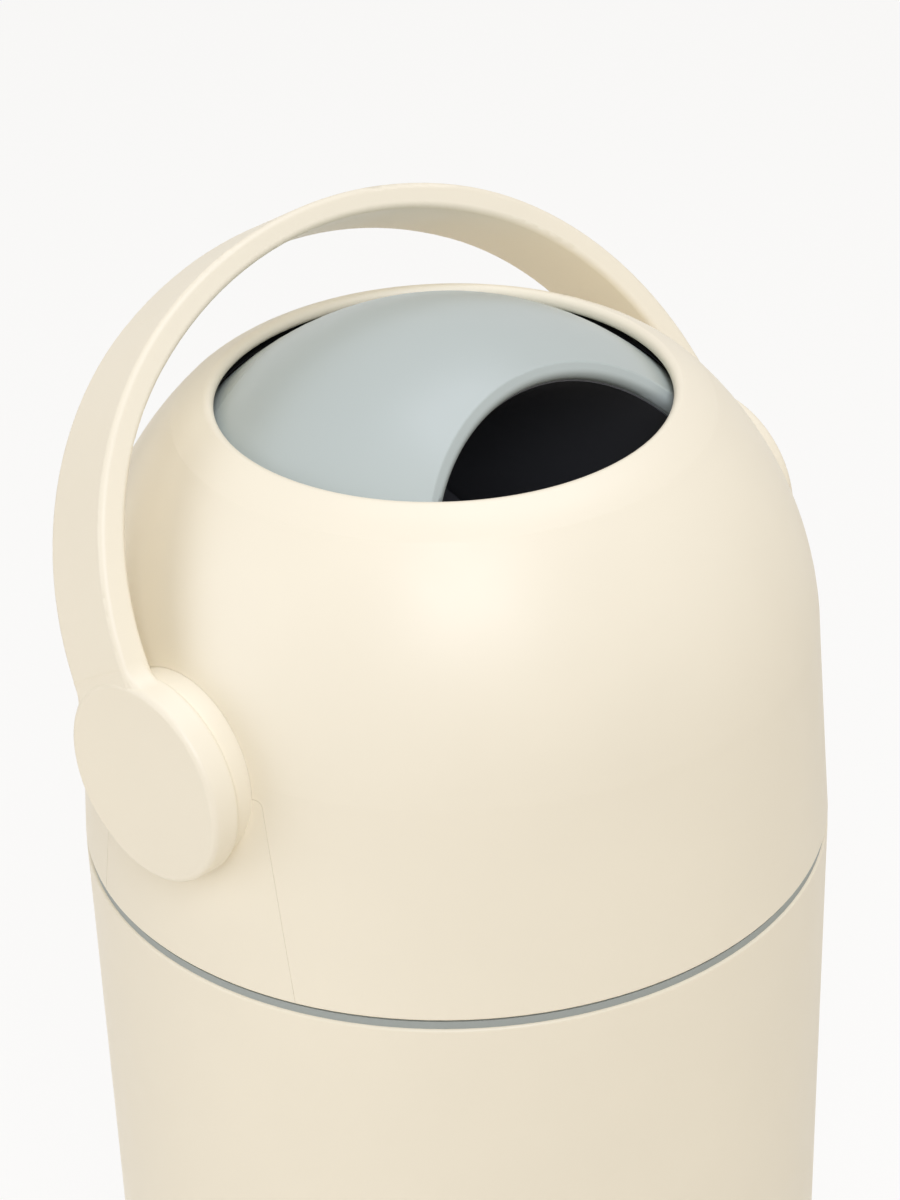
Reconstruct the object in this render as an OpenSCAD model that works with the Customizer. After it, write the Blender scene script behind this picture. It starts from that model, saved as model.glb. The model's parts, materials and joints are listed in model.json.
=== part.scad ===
// Nappy bin: a tapered bucket under a domed lid. The handle turns a ball in the lid by half a turn,
// and a piston in the ball's chamber slides down and pushes the nappy into the bucket.
// Millimetres. The origin is on the floor, on the bin's axis; +Z is up, -Y is the front, and the
// handle turns about the X direction. It is drawn as photographed: handle leaning back, mouth forward.

/* [Base] */
// Outer radius where base and lid meet
base_r = 140; // [128:1:152]
// Height of the lid's lower edge above the floor
seam_h = 395; // [330:1:480]
// Loss of radius from the seam down to the floor
base_taper = 4.7; // [1:0.1:8]
// Thickness of the moulded outer walls
wall = 2.6; // [2.2:0.1:3]
// Thickness of the bucket's floor
floor_t = 3.2; // [2.6:0.1:5]
// Radius of the bucket's bottom edge
base_corner_r = 8; // [5:0.5:14]
// Rounding of the outer edges at the seam
edge_r = 1.1; // [0.6:0.1:1.3]

/* [Foot ring] */
// Height of the non-slip ring below the bucket
foot_h = 2; // [1:0.1:4]
// Width of the non-slip ring
foot_w = 11; // [6:0.5:16]
// Depth of the groove that holds it
foot_seat = 1.4; // [0.8:0.1:1.8]

/* [Seam ring] */
// Height of the ring between base and lid that shows
ring_h = 3; // [2:0.1:4]
// How far the ring lies behind the walls
ring_inset = 1; // [0.5:0.1:2]
// Free gap between the lid's edge and the ring
ring_gap = 0.8; // [0.4:0.1:1.2]
// Height of the ring's upright rim inside the lid
ring_rim_h = 8; // [5:0.5:10]
// Width of the ledge that carries the bag ring
ledge_w = 9.5; // [6:0.5:12]
// Length of the skirt inside the bucket
ring_skirt = 13; // [8:0.5:16]

/* [Bag ring] */
// Length of the skirt that the bag is folded over
bag_skirt = 34; // [20:1:50]
// Height of its two finger tabs
tab_h = 5; // [3:0.5:6]

/* [Dome] */
// Radius of the round opening inside its lip
opening_r = 81.9; // [78:0.1:86]
// Lean of the straight side
side_lean = 3.33; // [2:0.01:4]
// How far the straight side runs on above the turning axis
side_over = 1.7; // [0:0.1:8]
// Lean where the domed side gives way to the tighter shoulder
side_end = 43; // [40:0.1:45]
// Radius of the rolled lip round the opening
lip_r = 2.7; // [2.4:0.1:4]

/* [Ball] */
// Height of the turning axis above the seam
axis_h = 79; // [74:1:84]
// Room between the ball and the dome's radius at the seam
ball_room = 19.1; // [18:0.1:22]
// Gap between the ball and the lip of the opening
ball_gap = 5; // [3:0.1:6]
// Thickness of the ball's shells
ball_t = 2.4; // [2:0.1:3]
// Inner radius of the chamber
chamber_r = 71; // [62:0.5:73]
// Wall of the chamber tube
chamber_t = 2.4; // [2:0.1:3]
// Width of the flat lip round the mouth
mouth_lip = 5.7; // [4.5:0.1:9]
// Rounding of the lip's inner edge
mouth_bead = 3; // [2:0.1:3.5]
// Turn of the ball from mouth up to the pose drawn
rest_turn = 58.3; // [0:0.1:180]

/* [Piston] */
// Height of the piston
piston_h = 40; // [30:1:50]
// Wall of the piston's skirt
piston_t = 3; // [2.6:0.1:4]
// Travel of the piston
piston_travel = 129; // [110:1:135]
// Depth of the guide grooves in the chamber wall
groove_d = 1.4; // [1:0.1:1.6]
// Width of the piston's guide lugs
lug_w = 8; // [5:0.5:12]

/* [Handle] */
// Thickness of the discs and of the band beside them
handle_t = 11.9; // [11:0.1:12.5]
// Thickness of the band at the top of the arch
handle_top_t = 9.1; // [9:0.1:10.5]
// Width of the band
handle_w = 34.4; // [30:0.1:37]
// Height of the arch above the turning axis
handle_rise = 160.4; // [158:0.1:172]
// Radius of the arch's outer face at its shoulders
arch_side_r = 132.4; // [115:0.1:138]
// Radius of the arch's outer face at its top
arch_top_r = 176.1; // [168:0.1:190]
// Radius of the arch's inner face at its shoulders
inner_side_r = 116.4; // [105:0.1:122]
// Radius of the arch's inner face at its top
inner_top_r = 157.5; // [152:0.1:170]
// Radius of the disc at each end
disc_r = 37.8; // [36:0.1:40]
// Rounding of the handle's edges
handle_edge = 2.3; // [1.5:0.1:2.6]
// Radius of the inside corner between band and disc
neck_r = 12; // [8:0.5:16]

/* [Axle] */
// Radius of the axle in its bush
axle_r = 12; // [10:0.5:14]
// Radius of the keyed ends of the axle
key_r = 10; // [8:0.5:10]
// Width across the flats of the keyed ends
key_w = 14; // [12:0.5:15]
// Radius of the round boss on the lid
boss_r = 35; // [32:0.1:36]
// Wall of the bush round the axle
bush_t = 4; // [3:0.1:5]
// How far the boss stands out from the top of the dome's straight side
boss_out = 2.4; // [1.5:0.1:6]
// Half width of the infill panel at the height of the axis
panel_top = 38.7; // [38:0.1:44]
// Half width of the infill panel at the seam
panel_foot = 51; // [46:1:58]
// Rounding of the infill panel's upper corners
panel_corner_r = 2.5; // [1:0.1:3]

/* [Hinge] */
// Distance of the hinge pin behind the walls
hinge_out = 7; // [6.5:0.1:9]
// Radius of the hinge pin
pin_r = 2; // [1.5:0.1:2.5]
// Radius of the hinge knuckles
knuckle_r = 5; // [4.5:0.1:5.5]
// Half length of the middle knuckle
knuckle_mid = 8; // [6:0.5:10]
// Half length of the whole hinge
hinge_half = 23; // [20:0.5:28]

/* [Clearances] */
// Gap between pieces that move past each other
run_gap = 0.4; // [0.3:0.05:0.6]
// Radial gap between a shaft and its bore
shaft_gap = 0.05; // [0.02:0.01:0.09]
// Visible joint line between fixed pieces
joint_gap = 0.15; // [0.1:0.05:0.3]

/* [Hidden] */

cream = "#F2E8D2";
cream_deep = "#E8DCC3";
grey = "#C0C7C4";
ring_grey = "#A5ACA8";
black = "#1C1D1F";
rubber = "#2B2C2E";
steel = "#B9BCC0";
$fn = 96;
EPS = 0.01; // overlap that keeps cuts and unions clean
OVER = 1; // how far a cut runs past what it cuts
FAR = 400; // beyond everything

function polar(r, a) = [r * cos(a), r * sin(a)];

// Heights from here on are counted from the seam
rim_z = -ring_gap - ring_h;
ring_top = -ring_gap;
base_foot_r = base_r - base_taper;

// The ring stack inside the lid, from the wall inwards
flange_t = 2;
rim_room = 1.5;
rim_t = 2.4;
rim_out = base_r - wall - flange_t - rim_room;
rim_in = rim_out - rim_t;
ledge_in = rim_in - ledge_w;
skirt_room = 0.5;
skirt_t = 2.4;
skirt_out = base_r - wall - skirt_room;
bag_t = 2.4;
bag_room = 1.2;
bag_skirt_out = ledge_in - bag_room;
bag_skirt_in = bag_skirt_out - bag_t;

// The ball and its opening in the dome
ball_r = base_r - ball_room;
lip_above_axis = sqrt(pow(ball_r, 2) - pow(opening_r - ball_gap, 2));
dome_h = axis_h + lip_above_axis + lip_r;

// The dome's outline: a straight side, a sphere round the axis, a shoulder and the rolled lip, each
// tangent to the next. The sphere stands a hair proud of the side, so that the two cross cleanly.
proud = 0.05;
side_h = axis_h + side_over;
side_end_n = polar(1, side_end);
side_top = [base_r - side_h * tan(side_lean), side_h];
dome_r = side_top[0] / cos(side_lean) + proud;
dome_c = [0, side_h - (dome_r - proud) * sin(side_lean)];
lip_c = [opening_r + lip_r, dome_h - lip_r];
reach = dome_c + dome_r * side_end_n - lip_c;
shoulder_r = (reach * reach - pow(lip_r, 2)) / (2 * (reach * side_end_n - lip_r));
shoulder_c = dome_c + (dome_r - shoulder_r) * side_end_n;
shoulder_end = atan2(lip_c[1] - shoulder_c[1], lip_c[0] - shoulder_c[0]);
function dome_in(z) = sqrt(pow(dome_r - wall, 2) - pow(z - dome_c[1], 2));
function side_at(z) = base_r - z * tan(side_lean);

// The upper seal lies on a shelf under the rolled lip
seal_drop = 15;
seal_z = dome_h - seal_drop;
seal_t = 3;
shelf_t = 2.4;
shelf_w = 6;
seal_clear = 0.5;
seal_reach = 4.5;
seal_lip_t = 0.8;
seal_lip_h = 2.4;
seal_tip_z = seal_z + seal_t + seal_lip_h;

// The inner cup follows the ball from a flange down to the lower opening
gasket_h = 3;
gasket_over = 1;
cup_z = ring_rim_h + run_gap + gasket_h;
cup_t = 2.4;
cup_room = 5;
cup_ball_r = ball_r + cup_room;
cup_r = side_at(cup_z + cup_t) - wall - flange_t - run_gap;
cup_end = -48.6;
cup_lap = 0.5;
cup_top_turn = asin((cup_z + cup_lap - axis_h) / cup_ball_r);
wiper_t = 2.6;
wiper_turn = 5;
wiper_lip = 1;
wiper_lip_turn = 1;
post_r = 4;
post_in = 3;
post_at = ledge_in + post_in;
post_h = 24;
post_cap = 4;
post_rib_t = 2.4;
post_turns = [45, 135, 225, 315];
screw_r = 1.6;
screw_head_r = 3.4;
screw_head_h = 2.2;

// The mouth: the ball is cut flat where the lip's outer edge lies on it. The lip's inner edge covers
// the end of the chamber tube
tube_r = chamber_r + chamber_t;
mouth_step = 0.5;
mouth_in = chamber_r + mouth_step;
mouth_out = mouth_in + mouth_lip;
mouth_z = sqrt(pow(ball_r, 2) - pow(mouth_out, 2));
mouth_edge = 1.5;
mouth_t = 2.5;
mouth_edge_c = [sqrt(pow(ball_r - mouth_edge, 2) - pow(mouth_z - mouth_edge, 2)), mouth_z - mouth_edge];
sleeve_t = 2.4;
sleeve_h = 12;
tube_under = 1.5;
tube_top = mouth_z - mouth_bead - tube_under;
tube_lift = 4;
tube_foot = tube_lift - mouth_z;
floor_plate_t = 2.4;
tongue_h = 4;
tongue_root = 6;
tongue_t = 1.5;
tongue_gap = 0.7;
tongue_out = ball_r - ball_t - tongue_gap;

// The ball's flat poles and the split hubs that clamp the axles
pole_cut = 2.6;
pole_x = ball_r - pole_cut;
pole_plate_r = 30;
hub_r = 17;
hub_l = 19;
hub_x = pole_x - hub_l;
hub_wall = 2.4;
bolt_r = 2.95;
bolt_hole_r = 3.1;
bolt_head_r = 6;
bolt_head_h = 3.2;
bolt_bite = 2;

// Along the axle, from the dome outwards
boss_x = side_at(side_h) + boss_out;
handle_x = boss_x + run_gap;
boss_clear = 2.4;
boss_ring_x = ball_r + boss_clear;
panel_lap = 6;
bush_flange_t = 1.8;
bush_flange_w = 4;
bush_flange_r = axle_r + bush_t + bush_flange_w;
hub_tube_t = 3.4;
thrust_gap = 1;
hub_tube_x = pole_x + thrust_gap + bush_flange_t;
bush_out_r = axle_r + shaft_gap + bush_t;
key_depth = 5.5;
arch_lap = 1;
arch_proud = 0.02;

// The handle's band: each face runs straight from the disc, then along a shoulder arc, then the top arc
handle_out = handle_x + handle_t;
function shoulder_turn(x, side_r, top_r) = acos((x - side_r) / (top_r - side_r));
function shoulder_h(x, rise, side_r, top_r) =
    rise - top_r + (top_r - side_r) * sin(shoulder_turn(x, side_r, top_r));
half_room = 0.2;
half_t = handle_top_t - handle_edge - half_room;

// The neck: a plate between disc and band with hollow sides. Its faces lie a little behind the disc's,
// because the band is already curving away there
neck_y = sqrt(pow(disc_r + neck_r, 2) - pow(handle_w / 2 + neck_r, 2));
neck_on_disc = [neck_y, handle_w / 2 + neck_r] * disc_r / (disc_r + neck_r);
neck_inset = 0.75;
neck_t = handle_t - 2 * neck_inset;

// The piston, in the chamber's own direction
chamber_floor_z = tube_foot + floor_plate_t;
piston_z = chamber_floor_z + run_gap;
piston_room = 0.8;
piston_r = chamber_r - piston_room;
seal_groove = 1.4;
seal_groove_h = 5;
seal_groove_down = 14;
seal_groove_z = piston_z + piston_h - seal_groove_down;
seal_edge_h = 1.6;
seal_notch = 0.4;
lug_h = 6;
lug_lift = 3;
lug_z = piston_z + lug_lift;
groove_top = lug_z + lug_h + piston_travel + run_gap;

// The hinge
hinge_z = rim_z / 2;
hinge_y = base_r + hinge_out;
leaf_t = 4;
knuckle_clear = 0.7;
leaf_z = hinge_z + knuckle_r + knuckle_clear;
leaf_h = 24;
bracket_h = 26;
bracket_top = hinge_z - knuckle_r - knuckle_clear;
hinge_root = 6;
hinge_lap = 4;
pin_end = 1;
hinge_screw_x = 15;
hinge_screw_r = 1.75;
hinge_screw_head_r = 3.8;
hinge_screw_head_h = 1.8;
hinge_screw_edge = 7.5;
hinge_boss_r = 5;
hinge_boss_l = 12;
hinge_screw_l = 9;
hinge_hole_y = base_r - hinge_screw_l;
leaf_screw_z = leaf_z + leaf_h - hinge_screw_edge;
bracket_screw_z = bracket_top - bracket_h + hinge_screw_edge;

module at_seam() translate([0, 0, seam_h]) children();

// The ball's own frame: mouth along +Z, handle along +Y, turned about X to the pose drawn
module on_ball() translate([0, 0, seam_h + axis_h]) rotate([rest_turn, 0, 0]) children();

module both_sides() {
    children();
    mirror([1, 0, 0]) children();
}

// Draws a flat outline in Y and Z and runs it along X
module along_x(x0, x1) translate([x0, 0, 0]) rotate([90, 0, 90]) linear_extrude(x1 - x0) children();

module x_cylinder(r, x0, x1) translate([x0, 0, 0]) rotate([0, 90, 0]) cylinder(r = r, h = x1 - x0);

module y_cylinder(r, y0, y1) translate([0, y0, 0]) rotate([-90, 0, 0]) cylinder(r = r, h = y1 - y0);

module ring_square(r0, r1, z0, z1) translate([r0, z0]) square([r1 - r0, z1 - z0]);

module sector(c, r, a0, a1) polygon([c, c + polar(1.5 * r, a0), c + polar(1.5 * r, a1)]);

module arc_band(c, r, t, a0, a1) intersection() {
    translate(c) difference() {
        circle(r);
        circle(r - t);
    }
    sector(c, r, a0, a1);
}

// ---- Base, with heights counted from the floor ----

base_top = seam_h + rim_z;
base_c = [base_foot_r - base_corner_r, foot_h + base_corner_r];
base_lean = atan2(base_taper, base_top - base_c[1]);
base_side_n = polar(1, -base_lean);

module base_outline() {
    polygon([
        base_c + base_corner_r * base_side_n,
        [base_r, base_top - edge_r],
        [base_r - edge_r, base_top - edge_r],
        [base_r - edge_r, base_top],
        [base_r - wall, base_top],
        base_c + (base_corner_r - wall) * base_side_n
    ]);
    translate([base_r - edge_r, base_top - edge_r]) circle(edge_r);
    arc_band(base_c, base_corner_r, wall, -90, -base_lean);
    ring_square(0, base_c[0], foot_h, foot_h + wall);
    ring_square(0, base_c[0] - base_corner_r / 2, foot_h, foot_h + floor_t);
}

foot_edge = 3;
foot_out_r = base_c[0] - foot_edge;

module foot_outline() ring_square(foot_out_r - foot_w, foot_out_r, 0, foot_h + foot_seat);

module hinge_screw_places(z) for (x = [-hinge_screw_x, hinge_screw_x]) translate([x, 0, z]) children();

module hinge_screw_hole() y_cylinder(hinge_screw_r, hinge_hole_y, base_r + leaf_t + OVER);

// Everything up to the middle of the base's wall, or out to its face
module base_inside(depth) rotate_extrude() polygon([
    [0, foot_h],
    base_c + (base_corner_r - depth) * base_side_n,
    [base_r - depth, base_top - edge_r],
    [0, base_top - edge_r]
]);

module base_shell() color(cream) difference() {
    union() {
        rotate_extrude() difference() {
            base_outline();
            foot_outline();
        }
        intersection() {
            at_seam() hinge_screw_places(bracket_screw_z)
                y_cylinder(hinge_boss_r, base_r - hinge_boss_l, base_r);
            base_inside(wall / 2);
        }
    }
    at_seam() hinge_screw_places(bracket_screw_z) hinge_screw_hole();
}

module foot_ring() color(rubber) rotate_extrude() foot_outline();

module seam_ring() color(ring_grey) at_seam() rotate_extrude() {
    ring_square(ledge_in, base_r - ring_inset, rim_z, ring_top);
    ring_square(skirt_out - skirt_t, skirt_out, rim_z - ring_skirt, rim_z);
    ring_square(rim_in, rim_out, ring_top, ring_rim_h);
}

bag_top = ring_top + bag_t;
tab_turn = 9;

module bag_ring() color(grey) at_seam() {
    rotate_extrude() {
        ring_square(bag_skirt_in, rim_in - skirt_room, ring_top, bag_top);
        ring_square(bag_skirt_in, bag_skirt_out, ring_top - bag_skirt, ring_top);
    }
    for (turn = [0, 180]) rotate([0, 0, turn - tab_turn]) rotate_extrude(angle = 2 * tab_turn)
        ring_square(bag_skirt_out, bag_skirt_out + bag_t, bag_top, bag_top + tab_h);
}

// ---- Hinge ----

module hinge_places(from, to) both_sides() translate([0, hinge_y, hinge_z]) x_cylinder(knuckle_r, from, to);

// Blocks and plates start inside the walls and are cut to fit them afterwards
module hinge_block(x0, x1, z0, z1) translate([x0, base_r - hinge_root, z0])
    cube([x1 - x0, hinge_y - base_r + hinge_root, z1 - z0]);

module hinge_plate(z0, h) translate([-hinge_half, base_r - hinge_root, z0])
    cube([2 * hinge_half, hinge_root + leaf_t, h]);

side_knuckle_x = knuckle_mid + run_gap;

module hinge_bracket() color(cream_deep) at_seam() difference() {
    union() {
        hinge_plate(bracket_top - bracket_h, bracket_h);
        hinge_places(side_knuckle_x, hinge_half);
        both_sides() hinge_block(side_knuckle_x, hinge_half, bracket_top - hinge_lap, hinge_z);
    }
    translate([0, 0, -seam_h]) base_inside(0);
    translate([-FAR / 2, 0, rim_z - edge_r]) cube([FAR, base_r + run_gap, FAR]);
    translate([0, hinge_y, hinge_z]) x_cylinder(pin_r, -FAR / 2, FAR / 2);
    hinge_screw_places(bracket_screw_z) hinge_screw_hole();
}

module hinge_pin() color(steel) at_seam() translate([0, hinge_y, hinge_z])
    x_cylinder(pin_r, -hinge_half - pin_end, hinge_half + pin_end);

module hinge_screws(z) hinge_screw_places(z) {
    y_cylinder(hinge_screw_r, hinge_hole_y + OVER, base_r + leaf_t);
    y_cylinder(hinge_screw_head_r, base_r + leaf_t, base_r + leaf_t + hinge_screw_head_h);
}

module bracket_screws() color(steel) at_seam() hinge_screws(bracket_screw_z);

module lid_hinge_leaf() color(cream_deep) at_seam() difference() {
    union() {
        hinge_plate(leaf_z, leaf_h);
        translate([0, hinge_y, hinge_z]) x_cylinder(knuckle_r, -knuckle_mid, knuckle_mid);
        hinge_block(-knuckle_mid, knuckle_mid, hinge_z, leaf_z + hinge_lap);
    }
    dome_envelope();
    translate([-FAR / 2, 0, OVER - FAR]) cube([FAR, base_r + run_gap, FAR]);
    translate([0, hinge_y, hinge_z]) x_cylinder(pin_r + shaft_gap, -FAR / 2, FAR / 2);
    hinge_screw_places(leaf_screw_z) hinge_screw_hole();
}

module leaf_screws() color(steel) at_seam() hinge_screws(leaf_screw_z);

// ---- Dome ----

edge_c = [base_r - edge_r * (1 + sin(side_lean)) / cos(side_lean), edge_r];

// The region on the seam's side of the shoulder, and the one outside the rolled lip
module below_shoulder() polygon([dome_c, dome_c + polar(FAR, side_end), [FAR, -OVER], [0, -OVER]]);
module outside_lip() polygon([
    shoulder_c, shoulder_c + polar(FAR, shoulder_end), [FAR, -OVER], [shoulder_c[0], -OVER]
]);

// Everything inside a face that lies inset behind the dome's outer face, its lower edge rounded
module dome_region(inset, edge) intersection() {
    polygon(concat(
        [[0, 0]],
        [for (a = [-90:30:0])
            edge_c - [inset / cos(side_lean), 0] + polar(edge, a) + (edge_r - edge) * [1, -1]],
        [[side_at(FAR) - inset / cos(side_lean), FAR], [0, FAR]]
    ));
    union() {
        translate(dome_c) circle(dome_r - inset);
        square([FAR, side_h]);
    }
    union() {
        translate(shoulder_c) circle(shoulder_r + proud - inset);
        below_shoulder();
    }
}

// A skin of thickness t with its outer face inset behind the dome's, from the seam to the lip
module dome_skin(inset, t, edge) intersection() {
    difference() {
        dome_region(inset, edge);
        translate([0, -EPS]) dome_region(inset + t, 0);
    }
    outside_lip();
}

module dome_outline() {
    dome_skin(0, wall, edge_r);
    translate(lip_c) circle(lip_r + proud);
    difference() {
        ring_square(dome_in(seal_z) - shelf_w, dome_in(seal_z) + wall / 2, seal_z - shelf_t, seal_z);
        difference() {
            ring_square(0, FAR, 0, dome_h);
            translate(dome_c) circle(dome_r - wall / 2);
        }
    }
}

// Everything inside the dome's outer face up to the top of its straight side
module dome_envelope() rotate_extrude() polygon([[0, 0], [base_r, 0], side_top, [0, side_h]]);

// The outline of the infill panel round the axle, seen from the side: the boss's circle over a plate
// with slanting sides and rounded corners, made larger all round by grow
panel_run = panel_foot - panel_top;
panel_lean = atan(panel_run / axis_h);
panel_corner_c = [
    panel_top - panel_corner_r * (1 - sin(panel_lean)) / cos(panel_lean), -panel_corner_r
];
panel_corner_steps = 4;

// One side of the plate, from just past its middle round the corner to the slanting side
function panel_side(grow) = concat(
    [[-OVER, -axis_h - EPS], [-OVER, grow]],
    [for (i = [0:panel_corner_steps])
        panel_corner_c
            + polar(panel_corner_r + grow, 90 - i * (90 - panel_lean) / panel_corner_steps)],
    [[panel_foot + grow / cos(panel_lean), -axis_h - EPS]]
);

module panel_outline(grow) translate([0, axis_h]) {
    circle(boss_r + grow);
    for (way = [-1, 1]) polygon([for (p = panel_side(grow)) [way * p[0], p[1]]]);
}

module cup_post() {
    translate([post_at, 0, cup_z + cup_t]) cylinder(r = post_r, h = post_h);
    translate([post_at, -post_rib_t / 2, cup_z + cup_t])
        cube([side_at(cup_z + cup_t + post_h) - wall / 2 - post_at, post_rib_t, post_h]);
}

module dome_shell() color(cream) at_seam() difference() {
    union() {
        rotate_extrude() dome_outline();
        for (turn = post_turns) rotate([0, 0, turn]) cup_post();
        hinge_screw_places(leaf_screw_z)
            y_cylinder(hinge_boss_r, base_r - hinge_boss_l, side_at(leaf_screw_z) - wall / 2);
    }
    both_sides() along_x(0, FAR) panel_outline(joint_gap);
    for (turn = post_turns) rotate([0, 0, turn]) translate([post_at, 0, 0])
        cylinder(r = screw_r, h = cup_z + cup_t + post_h - post_cap);
    hinge_screw_places(leaf_screw_z) hinge_screw_hole();
}

rib_t = 2;

// The panel on the +X side: a piece of the dome's wall, a flange behind it, the boss and its hub
module axle_panel() color(cream) at_seam() difference() {
    union() {
        difference() {
            union() {
                intersection() {
                    rotate_extrude() dome_skin(0, wall, edge_r);
                    along_x(0, FAR) panel_outline(0);
                }
                intersection() {
                    rotate_extrude() dome_skin(wall, flange_t, 0);
                    along_x(0, FAR) panel_outline(panel_lap);
                }
                translate([0, 0, axis_h]) x_cylinder(boss_r, boss_ring_x, boss_x);
            }
            translate([0, 0, axis_h]) x_cylinder(boss_r - wall, 0, boss_x - wall);
        }
        translate([0, 0, axis_h]) x_cylinder(bush_out_r + hub_tube_t, hub_tube_x, boss_x - OVER);
        for (turn = [0:60:300]) translate([0, 0, axis_h]) rotate([turn, 0, 0])
            translate([boss_ring_x, bush_out_r + OVER, -rib_t / 2])
                cube([boss_x - OVER - boss_ring_x, boss_r - bush_out_r - 2 * OVER, rib_t]);
    }
    translate([0, 0, axis_h]) x_cylinder(bush_out_r, 0, FAR);
}

module axle_panel_right() axle_panel();
module axle_panel_left() mirror([1, 0, 0]) axle_panel();

module axle_bush() color(ring_grey) at_seam() translate([0, 0, axis_h]) difference() {
    union() {
        x_cylinder(bush_out_r, hub_tube_x - EPS, boss_x);
        x_cylinder(bush_flange_r, hub_tube_x - bush_flange_t, hub_tube_x);
    }
    x_cylinder(axle_r + shaft_gap, 0, FAR);
}

module axle_bush_right() axle_bush();
module axle_bush_left() mirror([1, 0, 0]) axle_bush();

// Horizontal distance from the bin's axis to a sphere round the ball's centre, at height z
function ball_at(r, z) = sqrt(pow(r, 2) - pow(z - axis_h, 2));

module upper_seal() color(rubber) at_seam() rotate_extrude() polygon([
    [dome_in(seal_z) - seal_clear, seal_z],
    [dome_in(seal_z + seal_t) - seal_clear, seal_z + seal_t],
    [ball_at(ball_r, seal_z + seal_t) + seal_reach, seal_z + seal_t],
    [ball_at(ball_r + run_gap, seal_tip_z) + seal_lip_t, seal_tip_z],
    [ball_at(ball_r + run_gap, seal_tip_z - seal_lip_t), seal_tip_z - seal_lip_t],
    [ball_at(ball_r, seal_z) + seal_reach, seal_z]
]);

// A point at distance r and angle a from the ball's centre
function from_ball(r, a) = [0, axis_h] + polar(r, a);

module inner_cup() color(grey) at_seam() difference() {
    rotate_extrude() {
        difference() {
            ring_square(0, cup_r, cup_z, cup_z + cup_t);
            translate([0, axis_h]) circle(cup_ball_r);
        }
        arc_band([0, axis_h], cup_ball_r + cup_t, cup_t, cup_end, cup_top_turn);
    }
    for (turn = post_turns) rotate([0, 0, turn]) translate([post_at, 0, cup_z - OVER])
        cylinder(r = screw_r, h = cup_t + 2 * OVER);
}

module cup_screws() color(steel) at_seam() for (turn = post_turns) rotate([0, 0, turn])
    translate([post_at, 0, cup_z - screw_head_h]) {
        cylinder(r = screw_head_r, h = screw_head_h);
        cylinder(r = screw_r, h = screw_head_h + cup_t + post_h - 2 * post_cap);
    }

module lower_seal() color(rubber) at_seam() rotate_extrude() polygon([
    from_ball(cup_ball_r, cup_end + wiper_turn),
    from_ball(cup_ball_r - wiper_t, cup_end + wiper_turn),
    from_ball(cup_ball_r - wiper_t, cup_end + wiper_turn / 2),
    from_ball(ball_r + run_gap, cup_end),
    from_ball(ball_r + run_gap + wiper_lip, cup_end),
    from_ball(cup_ball_r, cup_end + wiper_lip_turn)
]);

module lid_gasket() color(rubber) at_seam() rotate_extrude()
    ring_square(rim_in - gasket_over, rim_out - run_gap, ring_rim_h + run_gap, cup_z);

// ---- Ball ----

// The hub on the +X side, a plate and a tube turned about X, before it is split between the halves
module hub_solid() rotate([0, 90, 0]) rotate_extrude() {
    intersection() {
        ring_square(0, pole_plate_r, pole_x - hub_wall, pole_x);
        circle(ball_r - ball_t / 2);
    }
    ring_square(0, hub_r, hub_x, pole_x - hub_wall);
}

// What the axle's keyed end and its screw take out of the hubs
module hub_cuts() both_sides() {
    along_x(hub_x + hub_wall, FAR) key_outline(joint_gap / 2);
    x_cylinder(bolt_hole_r, hub_x - OVER, hub_x + hub_wall + OVER);
}

module key_outline(grow) intersection() {
    circle(key_r + grow);
    square([FAR, key_w + 2 * grow], center = true);
}

module pole_cuts() both_sides() translate([pole_x, -FAR / 2, -FAR / 2]) cube([FAR, FAR, FAR]);

// The place of the chamber tube is cut out of the rolled lip and the sleeve round the tube's end
module mouth_outline() difference() {
    union() {
        arc_band([0, 0], ball_r, ball_t, 0, atan2(mouth_edge_c[1], mouth_edge_c[0]));
        translate(mouth_edge_c) circle(mouth_edge);
        ring_square(mouth_in + mouth_bead, mouth_edge_c[0], mouth_z - mouth_t, mouth_z);
        translate([mouth_in + mouth_bead, mouth_z - mouth_bead]) circle(mouth_bead);
        ring_square(mouth_in, tube_r + sleeve_t, tube_top - sleeve_h, mouth_z - mouth_bead);
    }
    ring_square(0, tube_r, 0, tube_top);
}

module drum_mouth_half() color(grey) on_ball() difference() {
    union() {
        difference() {
            rotate_extrude() mouth_outline();
            pole_cuts();
        }
        both_sides() hub_solid();
    }
    translate([-FAR / 2, -FAR / 2, joint_gap / 2 - FAR]) cube([FAR, FAR, FAR]);
    hub_cuts();
}

module back_outline() {
    arc_band([0, 0], ball_r, ball_t, -45, 0);
    arc_band([0, 0], ball_r, ball_t, -90, -45);
    intersection() {
        ring_square(tube_r, tube_r + sleeve_t, -ball_r, tube_foot + sleeve_h);
        circle(ball_r - ball_t / 2);
    }
}

tongue_stop = pole_plate_r + joint_gap;

module drum_back_half() color(grey) on_ball() {
    difference() {
        union() {
            difference() {
                rotate_extrude() back_outline();
                pole_cuts();
            }
            both_sides() hub_solid();
        }
        translate([-FAR / 2, -FAR / 2, -joint_gap / 2]) cube([FAR, FAR, FAR]);
        hub_cuts();
    }
    difference() {
        rotate_extrude() {
            ring_square(tongue_out - tongue_t, tongue_out, -tongue_root, tongue_h);
            ring_square(tongue_out - tongue_t, ball_r - ball_t / 2, -tongue_root, -tongue_gap);
        }
        both_sides() translate([hub_x, -tongue_stop, -FAR / 2]) cube([FAR, 2 * tongue_stop, FAR]);
    }
}

module chamber_tube() color(black) on_ball() difference() {
    rotate_extrude() ring_square(chamber_r, tube_r, tube_foot, tube_top);
    both_sides() translate([0, -lug_w / 2 - run_gap, tube_foot - OVER])
        cube([chamber_r + groove_d, lug_w + 2 * run_gap, groove_top - tube_foot + OVER]);
}

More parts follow.
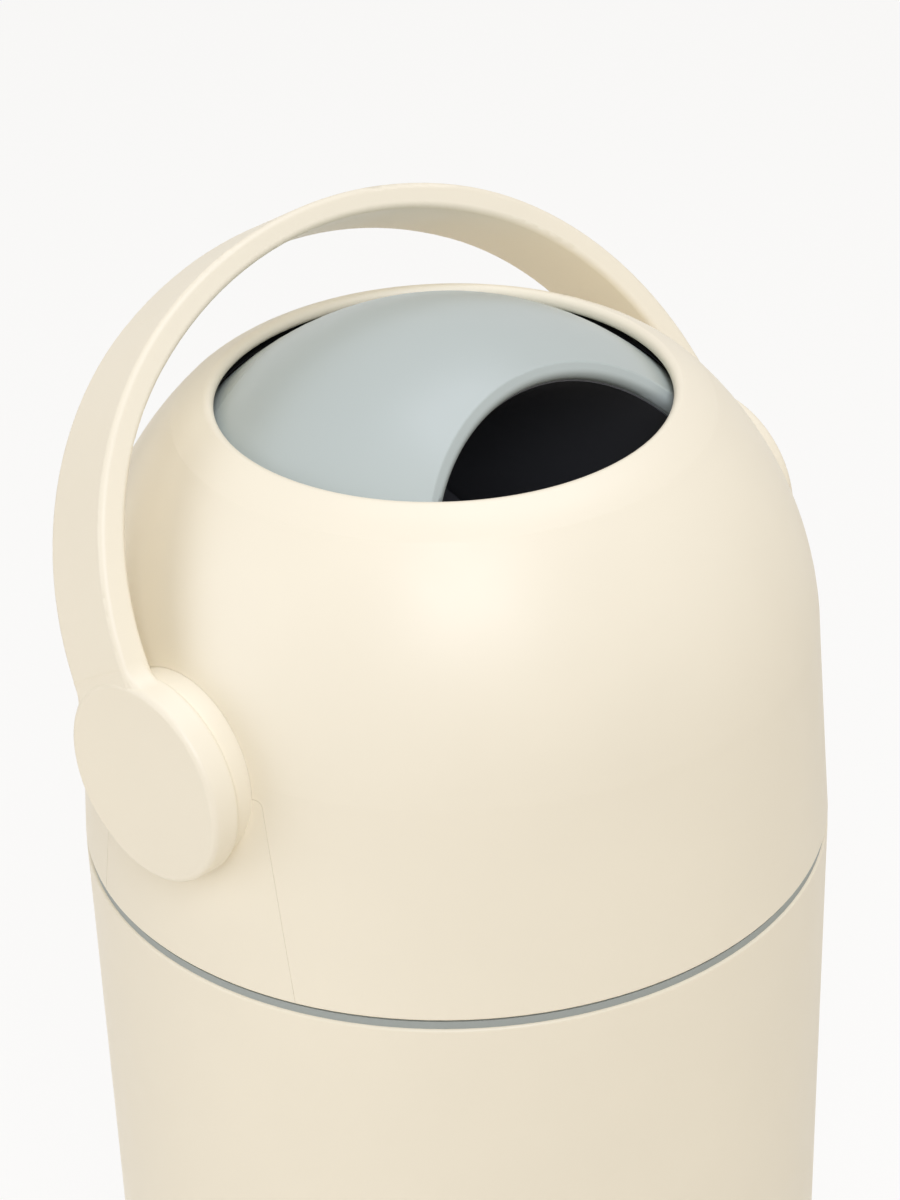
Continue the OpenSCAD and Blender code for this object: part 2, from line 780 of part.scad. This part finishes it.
module chamber_floor() color(black) on_ball() {
    translate([0, 0, tube_foot]) cylinder(r = chamber_r - joint_gap, h = floor_plate_t);
    translate([0, 0, tube_foot - floor_plate_t]) cylinder(r = tube_r, h = floor_plate_t);
}

// ---- Handle and axles ----

// One half of the band's section, with its face at the origin and the solid behind it; way is 1 for
// the outer half and -1 for the inner one, and grow makes it a hair larger
module half_band(way, grow = 0) rotate(way > 0 ? 0 : 180) {
    for (y = [handle_edge - handle_w / 2, handle_w / 2 - handle_edge])
        translate([-handle_edge, y]) circle(handle_edge + grow);
    translate([-half_t, -handle_w / 2 - grow])
        square([half_t - handle_edge, handle_w + 2 * grow]);
    translate([-half_t, handle_edge - handle_w / 2])
        square([half_t + grow, handle_w - 2 * handle_edge]);
}

// One face of the arch with half of the band behind it. The top arc is a hair larger than the sides,
// so that its ends cut them cleanly
module arch_half(way, x, rise, side_r, top_r) {
    turn = shoulder_turn(x, side_r, top_r);
    foot = shoulder_h(x, rise, side_r, top_r);
    both_sides() {
        rotate([-90, 0, 0]) linear_extrude(foot) translate([x, 0]) half_band(way);
        translate([x - side_r, foot, 0]) rotate_extrude(angle = turn + arch_lap)
            translate([side_r, 0]) half_band(way);
    }
    translate([0, rise - top_r, 0]) rotate([0, 0, turn]) rotate_extrude(angle = 180 - 2 * turn)
        translate([top_r, 0]) half_band(way, arch_proud);
}

module disc_outline() {
    square([disc_r - handle_edge, handle_t]);
    translate([0, handle_edge]) square([disc_r, handle_t - 2 * handle_edge]);
    for (y = [handle_edge, handle_t - handle_edge])
        translate([disc_r - handle_edge, y]) circle(handle_edge);
}

// What hollows one side of the neck: a cylinder that flares out to both faces, for rounded edges
module neck_hollow() rotate_extrude() difference() {
    square([neck_r + handle_edge, neck_t]);
    translate([neck_r, handle_edge]) square([handle_edge, neck_t - 2 * handle_edge]);
    for (y = [handle_edge, neck_t - handle_edge])
        translate([neck_r + handle_edge, y]) circle(handle_edge);
}

module neck() translate([handle_x + neck_inset, 0, 0]) difference() {
    along_x(0, neck_t) polygon([
        [0, 0],
        [neck_on_disc[0], -neck_on_disc[1]],
        [neck_y, -handle_w / 2],
        [neck_y, handle_w / 2],
        neck_on_disc
    ]);
    for (side = [-1, 1]) translate([0, neck_y, side * (handle_w / 2 + neck_r)]) rotate([0, 90, 0])
        neck_hollow();
}

module handle() color(cream) on_ball() difference() {
    union() {
        arch_half(1, handle_out, handle_rise, arch_side_r, arch_top_r);
        arch_half(-1, handle_x, handle_rise - handle_top_t, inner_side_r, inner_top_r);
        both_sides() translate([handle_x, 0, 0]) rotate([0, 90, 0]) rotate_extrude() disc_outline();
        both_sides() neck();
    }
    both_sides() along_x(0, handle_x + key_depth) key_outline(joint_gap / 2);
    both_sides() x_cylinder(bolt_hole_r, 0, handle_x + key_depth + bolt_bite);
}

module axle() color(ring_grey) on_ball() difference() {
    union() {
        x_cylinder(axle_r, pole_x, handle_x);
        along_x(hub_x + hub_wall, handle_x + key_depth) key_outline(0);
    }
    x_cylinder(bolt_hole_r, 0, FAR);
}

module axle_right() axle();
module axle_left() mirror([1, 0, 0]) axle();

module axle_screws() color(steel) on_ball() both_sides() {
    x_cylinder(bolt_head_r, hub_x - bolt_head_h, hub_x);
    x_cylinder(bolt_r, hub_x - OVER, handle_x + key_depth + bolt_bite - run_gap);
}

// ---- Piston ----

module piston_outline() difference() {
    ring_square(0, piston_r, piston_z, piston_z + piston_h);
    ring_square(0, piston_r - piston_t, piston_z - OVER, piston_z + piston_h - piston_t);
    ring_square(piston_r - seal_groove, piston_r + OVER, seal_groove_z, seal_groove_z + seal_groove_h);
}

module piston_cup() color(black) on_ball() {
    rotate_extrude() piston_outline();
    both_sides() translate([piston_r - piston_t, -lug_w / 2, lug_z])
        cube([chamber_r + groove_d - run_gap - piston_r + piston_t, lug_w, lug_h]);
}

module piston_seal() color(rubber) on_ball() rotate_extrude() difference() {
    ring_square(piston_r - seal_groove, chamber_r - run_gap, seal_groove_z, seal_groove_z + seal_groove_h);
    ring_square(
        chamber_r - run_gap - seal_notch, chamber_r,
        seal_groove_z + seal_edge_h, seal_groove_z + seal_groove_h - seal_edge_h
    );
}

base_shell();
foot_ring();
seam_ring();
bag_ring();
hinge_bracket();
hinge_pin();
bracket_screws();
dome_shell();
axle_panel_left();
axle_panel_right();
axle_bush_left();
axle_bush_right();
lid_hinge_leaf();
leaf_screws();
upper_seal();
inner_cup();
cup_screws();
lower_seal();
lid_gasket();
drum_mouth_half();
drum_back_half();
chamber_tube();
chamber_floor();
handle();
axle_left();
axle_right();
axle_screws();
piston_cup();
piston_seal();
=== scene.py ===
import json
import math

import bpy
from mathutils import Matrix, Vector


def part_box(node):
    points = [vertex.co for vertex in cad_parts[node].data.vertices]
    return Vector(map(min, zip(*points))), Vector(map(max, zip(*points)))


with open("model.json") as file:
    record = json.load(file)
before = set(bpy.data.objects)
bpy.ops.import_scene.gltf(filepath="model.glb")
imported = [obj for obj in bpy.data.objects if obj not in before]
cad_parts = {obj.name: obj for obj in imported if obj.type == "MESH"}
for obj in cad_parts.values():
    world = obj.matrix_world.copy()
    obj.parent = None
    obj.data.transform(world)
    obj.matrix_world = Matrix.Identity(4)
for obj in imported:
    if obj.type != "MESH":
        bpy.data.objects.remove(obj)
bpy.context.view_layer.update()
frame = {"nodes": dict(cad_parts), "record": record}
nodes = frame["nodes"]

# ---- Driving values, in metres and degrees ----

# Height of the dome's lower edge; the camera and the lamps are set out from the bin's axis at this height
SEAM_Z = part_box("dome_shell")[0].z

# The photograph's frame and focal length, in pixels, and the view that was fitted to them
PHOTO_W, PHOTO_H = 900, 1200
FOCAL_PX = 3806
CAMERA_TURN = -43.9
CAMERA_RISE = 33.38
CAMERA_ROLL = -1.83
CAMERA_DISTANCE = 1.4427
AIM_ABOVE_SEAM = 0.0875
CLIP_START = 0.05
SENSOR_MM = 36

# Colours as they look, in sRGB
CREAM = (0.95, 0.918, 0.835)
CREAM_TRIM = (0.925, 0.89, 0.805)
GREY = (0.715, 0.75, 0.735)
RING_GREY = (0.62, 0.645, 0.63)
BLACK = (0.34, 0.34, 0.35)
RUBBER = (0.09, 0.09, 0.095)
STEEL = (0.72, 0.73, 0.75)
FLOOR = (0.965, 0.95, 0.92)
BACKDROP = (1.0, 1.0, 1.0)

# How far a moulded plastic's roughness drifts to either side, and the stretch of a noise texture's
# values that covers nearly all of a surface
GLOSS_DRIFT = 0.03
NOISE_LOW, NOISE_HIGH = 0.3, 0.7

# Floor: half its side, its roughness, and the share of its look that only the camera and reflections see
FLOOR_REACH = 12
FLOOR_ROUGHNESS = 0.9
FLOOR_GLOW = 0.85

# World: strength and tint of the even light from all round, and the strength of the backdrop, which only
# the camera and reflections see
SKY = 0.38
SKY_TINT = (1.0, 0.88, 0.67)
BACKDROP_GLOW = 0.94

# Softboxes: name, azimuth, elevation, distance, size and power in watts; their tint balances the sky's
LAMPS = [
    ("key", -38, 43, 2.4, 1.2, 24.5),
    ("left", -120, 12, 2.6, 1.8, 15),
    ("right", 40, 15, 2.6, 1.8, 2.5),
    ("top", 85, 76, 2.6, 1.8, 24),
]
LAMP_TINT = (0.965, 1.015, 1.17)


def linear(colour):
    """An sRGB colour in linear light, by the standard's curve, with an alpha of 1."""
    channels = [c / 12.92 if c <= 0.04045 else ((c + 0.055) / 1.055) ** 2.4 for c in colour]
    return (*channels, 1)


def direction(azimuth, elevation):
    """Unit vector from the bin towards an azimuth and elevation in degrees; azimuth 0 is the front."""
    turn, rise = math.radians(azimuth), math.radians(elevation)
    return Vector((math.sin(turn) * math.cos(rise), -math.cos(turn) * math.cos(rise), math.sin(rise)))


# ---- Materials of the bin ----


def new_material(name):
    """A new material, with its node tree and the shader in it."""
    material = bpy.data.materials.new(name)
    material.use_nodes = True
    tree = material.node_tree
    return material, tree, tree.nodes["Principled BSDF"]


def noise(tree, scale):
    """A noise texture in the piece's own coordinates; scale is in cells per metre."""
    coordinates = tree.nodes.new("ShaderNodeTexCoord")
    texture = tree.nodes.new("ShaderNodeTexNoise")
    texture.inputs["Scale"].default_value = scale
    tree.links.new(coordinates.outputs["Object"], texture.inputs["Vector"])
    return texture.outputs["Fac"]


def spread(tree, value, low, high):
    """Maps a texture's value to the range low to high."""
    node = tree.nodes.new("ShaderNodeMapRange")
    node.inputs["From Min"].default_value = NOISE_LOW
    node.inputs["From Max"].default_value = NOISE_HIGH
    node.inputs["To Min"].default_value = low
    node.inputs["To Max"].default_value = high
    tree.links.new(value, node.inputs["Value"])
    return node.outputs["Result"]


def tint(tree, value, colour, share):
    """A colour that a texture's value makes darker and lighter by a share of itself."""
    mix = tree.nodes.new("ShaderNodeMix")
    mix.data_type = "RGBA"
    mix.inputs["A"].default_value = linear([c * (1 - share) for c in colour])
    mix.inputs["B"].default_value = linear([min(1, c * (1 + share)) for c in colour])
    tree.links.new(value, mix.inputs["Factor"])
    return mix.outputs["Result"]


def bump(tree, value, depth, before=None):
    """A relief of a texture's value, depth high, laid over the relief before it if there is one."""
    node = tree.nodes.new("ShaderNodeBump")
    node.inputs["Strength"].default_value = 1
    node.inputs["Distance"].default_value = depth
    tree.links.new(value, node.inputs["Height"])
    if before:
        tree.links.new(before, node.inputs["Normal"])
    return node.outputs["Normal"]


def textured(name, colour, tint_scale, tint_share, gloss_scale, smoothest, roughest, grain_scale, grain_depth,
             wave_scale=0, wave_depth=0, metallic=0):
    """A material whose colour, roughness and grain each follow a noise of their own.

    The grain lies on slow waves where wave_depth isn't 0.
    """
    material, tree, shader = new_material(name)
    base = tint(tree, noise(tree, tint_scale), colour, tint_share)
    gloss = spread(tree, noise(tree, gloss_scale), smoothest, roughest)
    waves = bump(tree, noise(tree, wave_scale), wave_depth) if wave_depth else None
    grain = bump(tree, noise(tree, grain_scale), grain_depth, waves)
    tree.links.new(base, shader.inputs["Base Color"])
    tree.links.new(gloss, shader.inputs["Roughness"])
    tree.links.new(grain, shader.inputs["Normal"])
    shader.inputs["Metallic"].default_value = metallic
    return material


def moulded(name, colour, roughness):
    """Moulded plastic: fine spark-eroded grain on slow flow waves, a slight drift of colour and gloss."""
    return textured(
        name, colour,
        tint_scale=14, tint_share=0.012,
        gloss_scale=60, smoothest=roughness - GLOSS_DRIFT, roughest=roughness + GLOSS_DRIFT,
        grain_scale=2600, grain_depth=0.000006,
        wave_scale=30, wave_depth=0.00002)


def rubber(name, colour):
    """Matt rubber with a coarser grain than the plastics."""
    return textured(
        name, colour,
        tint_scale=90, tint_share=0.06,
        gloss_scale=300, smoothest=0.62, roughest=0.74,
        grain_scale=1800, grain_depth=0.00003)


def plated_steel(name, colour):
    """Zinc plated steel, a little uneven in colour and gloss."""
    return textured(
        name, colour,
        tint_scale=120, tint_share=0.05,
        gloss_scale=700, smoothest=0.26, roughest=0.38,
        grain_scale=900, grain_depth=0.00002,
        metallic=1)


finishes = {
    "cream_plastic": moulded("cream_plastic", CREAM, 0.42),
    "cream_trim": moulded("cream_trim", CREAM_TRIM, 0.48),
    "grey_plastic": moulded("grey_plastic", GREY, 0.36),
    "ring_plastic": moulded("ring_plastic", RING_GREY, 0.5),
    "black_plastic": moulded("black_plastic", BLACK, 0.45),
    "seal_rubber": rubber("seal_rubber", RUBBER),
    "steel": plated_steel("steel", STEEL),
}

for part in frame["record"]["subparts"]:
    piece = nodes[part["node"]]
    piece.data.materials.clear()
    piece.data.materials.append(finishes[part["material_slot"]])
    piece.data.polygons.foreach_set("material_index", [0] * len(piece.data.polygons))

# ---- Floor and backdrop ----


def seen_directly(tree):
    """1 for rays of the camera and of reflections, and 0 for the light that falls on things."""
    rays = tree.nodes.new("ShaderNodeLightPath")
    either = tree.nodes.new("ShaderNodeMath")
    either.operation = "ADD"
    tree.links.new(rays.outputs["Is Camera Ray"], either.inputs[0])
    tree.links.new(rays.outputs["Is Glossy Ray"], either.inputs[1])
    return either.outputs["Value"]


def show(tree, lit, shown, share, output):
    """Links the shader lit to the output, with a share of the shader shown mixed in."""
    mix = tree.nodes.new("ShaderNodeMixShader")
    tree.links.new(share, mix.inputs["Fac"])
    tree.links.new(lit, mix.inputs[1])
    tree.links.new(shown, mix.inputs[2])
    tree.links.new(mix.outputs["Shader"], output.inputs["Surface"])


def pale_floor():
    """A pale floor that keeps the shadow and shows the photograph's even background."""
    material, tree, shader = new_material("pale_floor")
    shader.inputs["Base Color"].default_value = linear(FLOOR)
    shader.inputs["Roughness"].default_value = FLOOR_ROUGHNESS
    glow = tree.nodes.new("ShaderNodeEmission")
    glow.inputs["Color"].default_value = linear(BACKDROP)
    share = tree.nodes.new("ShaderNodeMath")
    share.operation = "MULTIPLY"
    share.inputs[1].default_value = FLOOR_GLOW
    tree.links.new(seen_directly(tree), share.inputs[0])
    lit, shown = shader.outputs["BSDF"], glow.outputs["Emission"]
    show(tree, lit, shown, share.outputs["Value"], tree.nodes["Material Output"])
    return material


def level_floor():
    """A square floor round the bin's foot."""
    mesh = bpy.data.meshes.new("floor")
    corners = [(-FLOOR_REACH, -FLOOR_REACH, 0), (FLOOR_REACH, -FLOOR_REACH, 0),
               (FLOOR_REACH, FLOOR_REACH, 0), (-FLOOR_REACH, FLOOR_REACH, 0)]
    mesh.from_pydata(corners, [], [(0, 1, 2, 3)])
    mesh.materials.append(pale_floor())
    return bpy.data.objects.new("floor", mesh)


def studio_world():
    """Even light from all round; the camera and reflections see the photograph's pale background instead."""
    world = bpy.data.worlds.new("studio")
    world.use_nodes = True
    tree = world.node_tree
    sky = tree.nodes["Background"]
    sky.inputs["Color"].default_value = (*SKY_TINT, 1)
    sky.inputs["Strength"].default_value = SKY
    backdrop = tree.nodes.new("ShaderNodeBackground")
    backdrop.inputs["Color"].default_value = linear(BACKDROP)
    backdrop.inputs["Strength"].default_value = BACKDROP_GLOW
    lit, shown = sky.outputs["Background"], backdrop.outputs["Background"]
    show(tree, lit, shown, seen_directly(tree), tree.nodes["World Output"])
    return world


floor = level_floor()
bpy.context.scene.collection.objects.link(floor)
bpy.context.scene.world = studio_world()

# ---- Lamps and camera ----


def softbox(name, azimuth, elevation, distance, size, power, aim):
    """A large square lamp that looks at the point aim."""
    light = bpy.data.lights.new(name, "AREA")
    light.size = size
    light.energy = power
    light.color = LAMP_TINT
    lamp = bpy.data.objects.new(name, light)
    lamp.location = aim + distance * direction(azimuth, elevation)
    lamp.rotation_euler = (aim - lamp.location).to_track_quat("-Z", "Y").to_euler()
    return lamp


def photo_camera(middle):
    """A camera with the photograph's view, set out from the point middle."""
    camera = bpy.data.objects.new("camera", bpy.data.cameras.new("camera"))
    camera.data.sensor_width = SENSOR_MM
    camera.data.lens = FOCAL_PX * SENSOR_MM / max(PHOTO_W, PHOTO_H)
    camera.data.clip_start = CLIP_START
    place = middle + CAMERA_DISTANCE * direction(CAMERA_TURN, CAMERA_RISE)
    forward = (middle + Vector((0, 0, AIM_ABOVE_SEAM)) - place).normalized()
    level = forward.cross(Vector((0, 0, 1))).normalized()
    upright = level.cross(forward)
    roll = math.radians(CAMERA_ROLL)
    right = math.cos(roll) * level + math.sin(roll) * upright
    up = right.cross(forward)
    turned = Matrix((right, up, -forward)).transposed().to_4x4()
    camera.matrix_world = Matrix.Translation(place) @ turned
    return camera


seam_middle = Vector((0, 0, SEAM_Z))
for values in LAMPS:
    bpy.context.scene.collection.objects.link(softbox(*values, seam_middle))

camera = photo_camera(seam_middle)
bpy.context.scene.collection.objects.link(camera)
bpy.context.scene.camera = camera
bpy.context.scene.view_settings.view_transform = "Standard"
